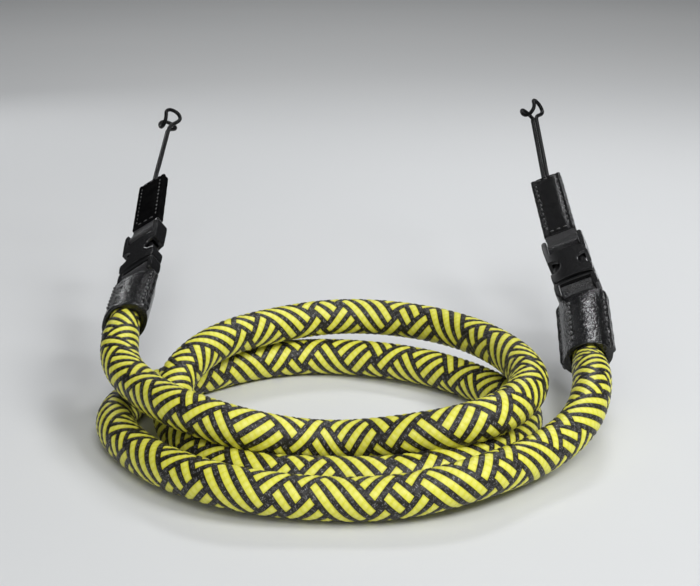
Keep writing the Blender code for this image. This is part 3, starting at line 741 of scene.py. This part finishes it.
def tabHeight(x, y):
    look = tabLook
    share = min(1.0, abs(x) / (look["width"] / 2))
    fromEnd = min(-y, y + look["length"]) / (look["length"] / 2)
    full = look["end"] + (look["crown"] - look["end"]) * min(1.0, 2 * max(0.0, fromEnd))
    inner = min(1.0, share / look["crownShare"])
    rise = look["edge"] / 2 + (full - look["edge"]) / 2 * (1 - inner ** look["crownPower"])
    rise -= look["seamDepth"] * gauss(abs(x) - (look["width"] / 2 - look["seam"]), look["seamSpread"])
    rise -= look["edgeDrop"] * max(0.0, share - (1 - look["edgeBand"])) / look["edgeBand"]
    return rise


def makeTab(side):
    look = tabLook
    place = places[side]["tab"]
    half = look["width"] / 2
    even = np.linspace(-1, 1, look["columns"])
    shares = np.sin(even * math.pi / 2) * look["crowding"] + even * (1 - look["crowding"])
    stations = list(look["rounding"])
    for y in np.linspace(-look["firstRow"], -look["length"] + look["firstRow"], look["rows"]):
        stations.append((y, 0.0, 1.0))
    stations += [(-look["length"] - y, narrow, thin) for y, narrow, thin in look["rounding"][::-1]]
    loops = []
    for y, narrow, thin in stations:
        w = half - narrow + waves(y, look["wobble"]) * 0.5
        front = [(w * s, y, tabHeight(half * s, y) * thin) for s in shares]
        loops.append(closedLoop(front, look["bulge"], look["bulgeShare"]))
    store = newStore()
    addMesh(store, *loopsMesh(place, loops), 0)
    lineX = half - look["seam"]
    count = int((look["length"] - look["stitchMargin"]) / look["stitchGap"])
    for face in (1, -1):
        for edge in (-1, 1):
            for k in range(count):
                y = -look["length"] / 2 + (k - (count - 1) / 2) * look["stitchGap"]
                z = face * (tabHeight(lineX, y) + look["stitchLift"])
                ahead = (look["stitchLean"] * edge, 1, 0)
                spot = (edge * lineX, y, z)
                addMesh(store, *stitchMesh(place, spot, ahead, (0, 0, face), *look["stitch"]), 1)
        for y in (-look["endSeam"], look["endSeam"] - look["length"]):
            for k in (-1, 0, 1):
                x = k * look["endStitchGap"]
                z = face * (tabHeight(x, y) + look["stitchLift"])
                addMesh(store, *stitchMesh(place, (x, y, z), (1, 0, 0), (0, 0, face), *look["endStitch"]), 1)
    tab = stitchedPiece(side + "_leather_tab", store, leathers[side + "_tab_leather"])
    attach(tab, "root")
    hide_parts(side + "_tab")


stripLook = {
    "width": 9.3, "thickness": 0.9, "barRadius": 1.0, "clearance": 0.3, "edge": 0.3, "step": 0.3,
    "seated": (3.6, 1.2), "midShare": 0.52, "midBulge": 0.35, "twist": 2.4,
    "turnStep": 22, "cornerPoints": 4, "facePoints": 10,
    # where the buckle's bar and mouth are, and which way the fold runs
    "upper": {"bar": -7.2, "mouth": 0.0, "inward": 1}, "lower": {"bar": -29.8, "mouth": -34.5, "inward": -1},
}


def strapLoops(line, acrosses, look):
    # a flat strap of rounded section along a line of points
    width, thickness, edge = look["width"], look["thickness"], look["edge"]
    corner = look["cornerPoints"]
    line = np.array(line, float)
    ahead = np.gradient(line, axis=0)
    loops = []
    for spot, way, across in zip(line, ahead, acrosses):
        across = np.array(across, float)
        across /= np.linalg.norm(across)
        way = way / np.linalg.norm(way)
        out = np.cross(across, way)
        out /= np.linalg.norm(out)
        loop = []
        for u, v, start in ((1, 1, 0), (-1, 1, 90), (-1, -1, 180), (1, -1, 270)):
            for k in range(corner):
                turn = math.radians(start + 90 / (corner - 1) * k)
                x = u * (width / 2 - edge) + edge * math.cos(turn)
                z = v * (thickness / 2 - edge) + edge * math.sin(turn)
                loop.append(spot + across * x + out * z)
        # points between the corners, so that the face can bend a little
        full = []
        for k, point in enumerate(loop):
            full.append(point)
            if k in (corner - 1, 3 * corner - 1):
                gap = loop[(k + 1) % len(loop)] - point
                full += [point + gap * t for t in np.linspace(0, 1, look["facePoints"] + 2)[1:-1]]
        loops.append(full)
    return loops


def makeStrip(side, which):
    look = stripLook
    bar, mouth, inward = (look[which][key] for key in ("bar", "mouth", "inward"))
    buckle = places[side]["buckle"]
    seat = places[side]["tab" if which == "upper" else "sleeve"]
    ring = look["barRadius"] + look["clearance"] + look["thickness"] / 2
    flat = look["thickness"] * 0.5

    def seatPoint(depth, z):
        y = -tabLook["length"] + depth if which == "upper" else -depth
        return seat @ Vector((0, y, z))

    # out of its seat, round the bar and back into the seat
    way = [seatPoint(depth, flat) for depth in look["seated"]]
    mid = bar + (mouth - bar) * look["midShare"]
    way.append(buckle @ Vector((0, mid, flat + look["midBulge"])))
    for turn in range(90, -91, -look["turnStep"]):
        y = bar - inward * ring * math.cos(math.radians(turn))
        way.append(buckle @ Vector((0, y, ring * math.sin(math.radians(turn)))))
    way.append(buckle @ Vector((0, mid, -flat - look["midBulge"])))
    way += [seatPoint(depth, -flat) for depth in look["seated"][::-1]]
    line = smoothLine(way, look["step"])
    seatAcross, barAcross = seat.to_3x3() @ Vector((1, 0, 0)), buckle.to_3x3() @ Vector((1, 0, 0))
    along = np.linspace(0, 1, len(line))
    acrosses = [seatAcross.lerp(barAcross, min(1.0, look["twist"] * min(t, 1 - t))) for t in along]
    points, faces = loopsMesh(Matrix.Identity(4), strapLoops(line, acrosses, look))
    strip = outwardPiece(side + "_" + which + "_leather_strip", points, faces,
                         [leathers["strip_leather"]], None, creaseAngle)
    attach(strip, "root")
    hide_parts(side + "_" + which + "_strip")


sleeveLook = {
    "length": 29.0, "width": 15.0, "seamWidth": 12.6, "flange": 2.0, "wall": 1.0, "topThickness": 4.8,
    "topCorner": 3.4, "footCorner": 1.6, "cornerShare": 0.75, "bore": 4.4, "bulge": 0.05, "bulgeShare": 0.5,
    "swellLength": 9.5, "swellPower": 0.6,
    "crownReach": 1.06, "crownPower": 0.72, "seamDepth": 0.16, "seamSpread": 0.4, "seamOut": 0.3,
    "columns": 49, "rows": 60, "firstRow": 0.9, "lastRow": 0.5, "edgeWobble": ((0.05, 1.1, 0.0),),
    "creases": ((0.05, 0.8, 3), (0.04, 1.7, 5)),
    # how the top and foot round off: y from that end, how much narrower, and the share of the thickness
    "rounding": ((0.0, 0.35, 0.55), (-0.15, 0.12, 0.82), (-0.45, 0.02, 0.97)),
    "footRounding": ((0.15, 0.1, 0.99), (0.0, 0.3, 0.965)),
    # how the mouth turns in: how far up from the foot, and how much wider than the bore
    "mouth": ((-0.05, 0.35), (0.15, 0.08), (1.2, 0.0), (5.0, 0.0)),
    "stitch": (1.9, 0.5, 0.42), "stitchGap": 2.6, "stitchLift": 0.05, "stitchMargin": 4.5,
    "stitchShift": 0.8, "stitchLean": 0.2,
    "innerRow": {"x": -2.4, "first": -7.6, "gap": 2.4, "count": 8,
                 "lift": 0.14, "lean": -0.3, "stitch": (1.5, 0.85, 0.7)},
}


def sleeveHalf(y):
    look = sleeveLook
    half = look["width"] / 2
    for corner, into in ((look["topCorner"], -y), (look["footCorner"], y + look["length"])):
        if into < corner:
            rise = corner - into
            half -= look["cornerShare"] * (corner - math.sqrt(max(0.0, corner * corner - rise * rise)))
    return half


def sleeveHeight(x, y):
    look = sleeveLook
    top, foot = look["topThickness"] / 2, look["bore"] + look["wall"]
    grown = min(1.0, max(0.0, -y) / look["swellLength"])
    crown = top + (foot - top) * grown ** look["swellPower"]
    share = abs(x) / (look["seamWidth"] / 2)
    bump = max(0.0, 1 - (share / look["crownReach"]) ** 2) ** look["crownPower"]
    edge = look["flange"] / 2
    seam = gauss(abs(x) - look["seamWidth"] / 2 - look["seamOut"], look["seamSpread"])
    return edge + (crown - edge) * bump - look["seamDepth"] * seam


def makeSleeve(side):
    look = sleeveLook
    place = places[side]["sleeve"]
    middle = np.linspace(-look["firstRow"], -look["length"] + look["lastRow"], look["rows"])
    stations = list(look["rounding"]) + [(y, 0.0, 1.0) for y in middle]
    stations += [(-look["length"] + up, narrow, thin) for up, narrow, thin in look["footRounding"]]
    loops = []
    for y, narrow, thin in stations:
        w = sleeveHalf(y) - narrow + waves(y, look["edgeWobble"])
        front = []
        for s in np.linspace(-1, 1, look["columns"]):
            crease = waves(y, look["creases"], s)
            front.append((w * s, y, (sleeveHeight(w * s, y) + crease * (1 - abs(s))) * thin))
        loops.append(closedLoop(front, look["bulge"], look["bulgeShare"]))
    # the mouth turns in to the bore and runs up it a little way
    last = loops[-1]
    for depth, wider in look["mouth"]:
        radius = look["bore"] + wider
        ring = []
        for x, _, z in last:
            turn = math.atan2(z, x)
            ring.append((radius * math.cos(turn), -look["length"] + depth, radius * math.sin(turn)))
        loops.append(ring)
    store = newStore()
    addMesh(store, *loopsMesh(place, loops, closeEnd=False), 0)
    count = int((look["length"] - look["stitchMargin"]) / look["stitchGap"])
    seam = look["seamWidth"] / 2 + look["seamOut"]
    for face in (1, -1):
        for edge in (-1, 1):
            for k in range(count):
                y = -look["length"] / 2 - look["stitchShift"] + (k - (count - 1) / 2) * look["stitchGap"]
                z = face * (sleeveHeight(seam, y) + look["stitchLift"])
                out = (look["stitchLean"] * edge, 0, face)
                addMesh(store, *stitchMesh(place, (edge * seam, y, z), (0, 1, 0), out, *look["stitch"]), 1)
    row = look["innerRow"]
    for k in range(row["count"]):
        y = row["first"] - k * row["gap"]
        spot = (row["x"], y, sleeveHeight(row["x"], y) + row["lift"])
        addMesh(store, *stitchMesh(place, spot, (0, 1, 0), (row["lean"], 0, 1), *row["stitch"]), 1)
    sleeve = stitchedPiece(side + "_leather_sleeve", store, leathers["sleeve_leather"])
    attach(sleeve, "root")
    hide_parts(side + "_sleeve")


# lengths down from the buckle's top are negative, as in the end's own frame
buckleLook = {
    "halfWidth": 6.45, "slotHalf": 4.75, "bar": 1.0, "barInset": 0.8, "voxel": 0.17, "smooth": 5,
    "crownDrop": 0.16, "crownPower": 2.2, "windowSteps": 28, "barSteps": 20, "spare": 3.0, "slotDeep": 4.0,
    "socketTop": -4.0, "socketFoot": -26.0, "slotFoot": -11.4, "socketBar": -7.2, "socketHalfThick": 2.6,
    "cavityHalf": 4.9, "cavityTop": -12.6, "cavityHalfHigh": 1.6,
    "window": -18.4, "windowRadius": 2.9, "windowIn": 5.7,
    "plugTop": -26.3, "plugFoot": -32.9, "plugBar": -29.8, "plugSlotTop": -27.3, "plugHalfThick": 2.35,
    "prongTip": -15.3, "prongHalfHigh": 1.3, "prongGap": 0.35, "prongWidth": 1.6, "barb": 0.6,
    "guideHalf": 1.2,
}


def prism(outline, low, high, along="z"):
    # an outline pushed from low to high; along x the outline is given as y and z
    count = len(outline)
    place = (lambda u, v, w: (u, v, w)) if along == "z" else (lambda u, v, w: (w, u, v))
    points = [place(u, v, low) for u, v in outline] + [place(u, v, high) for u, v in outline]
    faces = [tuple(range(count))[::-1], tuple(range(count, 2 * count))]
    faces += [(k, (k + 1) % count, count + (k + 1) % count, count + k) for k in range(count)]
    return outwardPiece("shape", points, faces, [])


def block(low, high):
    (x0, y0, z0), (x1, y1, z1) = low, high
    return prism([(x0, y0), (x1, y0), (x1, y1), (x0, y1)], z0, z1)


def ringOutline(x, y, radius, steps):
    turns = [2 * math.pi * k / steps for k in range(steps)]
    return [(x + radius * math.cos(turn), y + radius * math.sin(turn)) for turn in turns]


def barShape(look, y):
    reach = look["halfWidth"] - look["barInset"]
    return prism(ringOutline(y, 0.0, look["bar"], look["barSteps"]), -reach, reach, "x")


def mirrored(half):
    return half + [(-x, y) for x, y in half[::-1] if abs(x) > 1e-6]


def moulded(side, half, base, steps, look):
    # joins and cuts the shapes, then softens every edge as a mould does
    for operation, other in steps:
        change = base.modifiers.new("shape", "BOOLEAN")
        change.operation, change.object, change.solver = operation, other, "EXACT"
    skin = base.modifiers.new("skin", "REMESH")
    skin.mode, skin.voxel_size = "VOXEL", look["voxel"]
    soften = base.modifiers.new("soften", "SMOOTH")
    soften.factor, soften.iterations = 0.5, look["smooth"]
    bpy.context.view_layer.update()
    data = bpy.data.meshes.new_from_object(base.evaluated_get(bpy.context.evaluated_depsgraph_get()))
    for thing in [base] + [other for _, other in steps]:
        bpy.data.objects.remove(thing, do_unlink=True)
    spots = np.empty(len(data.vertices) * 3, np.float32)
    data.vertices.foreach_get("co", spots)
    spots = spots.reshape(-1, 3)
    # the faces are crowned: thinner towards the sides
    outer = np.clip(np.abs(spots[:, 0]) / look["halfWidth"], 0, 1)
    spots[:, 2] *= 1 - look["crownDrop"] * outer ** look["crownPower"]
    place = places[side]["buckle"]
    turned = spots @ np.array(place.to_3x3()).T + np.array(place.translation)
    data.vertices.foreach_set("co", (turned * mm).astype(np.float32).ravel())
    data.materials.clear()
    data.materials.append(plastics[side])
    data.shade_smooth()
    data.update()
    thing = bpy.data.objects.new(side + "_" + half, data)
    scene.collection.objects.link(thing)
    return thing


def makeSocket(side):
    look = buckleLook
    top, foot, wide = look["socketTop"], look["socketFoot"], look["halfWidth"]
    # from the middle of the strip's slot, round one ear, down the waisted side and along the foot
    slotFoot, slotHalf = look["slotFoot"], look["slotHalf"]
    outline = [(0.0, slotFoot + 0.55), (2.6, slotFoot + 0.42), (slotHalf, slotFoot), (slotHalf, top - 0.7)]
    outline += [(5.1, top - 0.1), (5.8, top), (6.25, top - 0.35), (wide, top - 1.2), (wide + 0.05, -9.5)]
    outline += [(wide - 0.1, -12.5), (wide - 0.25, -16.0), (wide - 0.25, -20.0), (wide - 0.1, -23.0)]
    outline += [(wide - 0.2, foot + 0.5), (wide - 0.8, foot), (4.2, foot + 0.45), (2.2, foot + 0.8)]
    outline += [(0.0, foot + 0.9)]
    thick = look["socketHalfThick"]
    base = prism(mirrored(outline), -thick, thick)
    cavity = block((-look["cavityHalf"], foot - look["spare"], -look["cavityHalfHigh"]),
                   (look["cavityHalf"], look["cavityTop"], look["cavityHalfHigh"]))
    steps = [("UNION", barShape(look, look["socketBar"])), ("DIFFERENCE", cavity)]
    for way in (-1, 1):
        window = ringOutline(way * look["windowIn"], look["window"], look["windowRadius"], look["windowSteps"])
        steps.append(("DIFFERENCE", prism(window, -look["spare"] - thick, thick + look["spare"])))
    return moulded(side, "socket", base, steps, look)


def makePlug(side):
    look = buckleLook
    top, foot, wide, thick = look["plugTop"], look["plugFoot"], look["halfWidth"], look["plugHalfThick"]
    outline = [(0.0, top), (wide - 0.5, top), (wide - 0.1, top - 0.5), (wide + 0.05, top - 1.8)]
    outline += [(wide + 0.05, foot + 1.6), (wide - 0.5, foot + 0.4), (wide - 1.2, foot), (0.0, foot)]
    base = prism(mirrored(outline), -thick, thick)
    slotHalf, deep = look["slotHalf"], look["slotDeep"]
    slot = block((-slotHalf, foot - look["spare"], -deep), (slotHalf, look["plugSlotTop"], deep))
    high, root, tip, window = look["prongHalfHigh"], top - 0.5, look["prongTip"], look["window"]
    guide = block((-look["guideHalf"], root, -high), (look["guideHalf"], tip, high))
    steps = [("DIFFERENCE", slot), ("UNION", barShape(look, look["plugBar"])), ("UNION", guide)]
    outer = look["cavityHalf"] - look["prongGap"]
    inner, barb = outer - look["prongWidth"], outer + look["barb"]
    for way in (-1, 1):
        prong = [(inner, root), (outer, root), (outer, window - 2.1), (barb, window - 1.2),
                 (barb, window + 0.5), (outer, window + 2.1), (outer - 0.5, tip), (inner, tip)]
        steps.append(("UNION", prism([(way * x, y) for x, y in prong], -high, high)))
    return moulded(side, "plug", base, steps, look)


plastics = {side: plasticFinish(side) for side in ends}
for side in ends:
    makeTab(side)
    makeStrip(side, "upper")
    makeStrip(side, "lower")
    makeSleeve(side)
    for half, make in (("socket", makeSocket), ("plug", makePlug)):
        piece = make(side)
        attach(piece, "root")
        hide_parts(side + "_buckle_" + half)
        print(side, half, len(piece.data.polygons), "faces")
    print(side, "end made")


def makeFloor():
    look = floorLook
    half, middle = look["side"] / 2, look["middle"]
    z = (look["height"] - look["drop"]) * mm
    left, right, front, back = middle - half, middle + half, -half, half * 1.5
    corners = [(left, front, z), (right, front, z), (right, back, z), (left, back, z)]
    floor = meshPiece("floor", corners, [(0, 1, 2, 3)], [floorFinish()])


white, coolWhite = (1, 1, 1), (0.97, 0.98, 1.0)
studio = {
    "worldStrength": 0.04, "worldColour": rgb(0.93, 0.96, 1.0),
    # large soft lights for the rope, then small ones that put the sheen on each end's leather:
    # place, what it points at, size, power and colour
    "lights": {
        "front_key": ((0.26, -1.20, 1.08), (0.06, -0.16, -0.04), (0.70, 0.50), 10.0, white),
        "front_fill": ((-0.30, -1.30, 0.50), (0.06, -0.16, -0.04), (1.2, 0.7), 3.6, white),
        "overhead": ((0.12, -0.30, 1.00), (0.10, -0.16, -0.05), (0.8, 0.5), 1.5, white),
        "right_side": ((0.52, -0.40, 0.46), (0.09, -0.14, -0.05), (0.26, 0.26), 2.6, white),
        "backdrop": ((0.06, 0.50, 0.75), (0.06, 1.50, -0.05), (0.6, 0.3), 2.7, white),
        "back_right": ((0.20, 0.20, 0.35), (0.12, -0.10, -0.03), (0.13, 0.08), 0.70, coolWhite),
        "back_left": ((-0.176, 0.327, 0.110), (0.0, -0.11, -0.03), (0.04, 0.04), 0.09, coolWhite),
        "back_middle": ((-0.094, 0.276, 0.279), (0.12, -0.09, -0.03), (0.06, 0.06), 0.035, coolWhite),
    },
}


def areaLight(name, place, target, size, power, colour):
    data = bpy.data.lights.new(name, "AREA")
    data.shape = "RECTANGLE"
    data.size, data.size_y = size
    data.energy = power
    data.color = colour
    light = bpy.data.objects.new(name, data)
    light.location = place
    light.rotation_euler = (Vector(target) - Vector(place)).to_track_quat("-Z", "Y").to_euler()
    scene.collection.objects.link(light)


def makeLight():
    world = bpy.data.worlds.new("studio")
    world.use_nodes = True
    world.node_tree.nodes["Background"].inputs["Color"].default_value = studio["worldColour"]
    world.node_tree.nodes["Background"].inputs["Strength"].default_value = studio["worldStrength"]
    scene.world = world
    for name, setting in studio["lights"].items():
        areaLight(name, *setting)


makeFloor()
makeLight()
print("floor and light made")
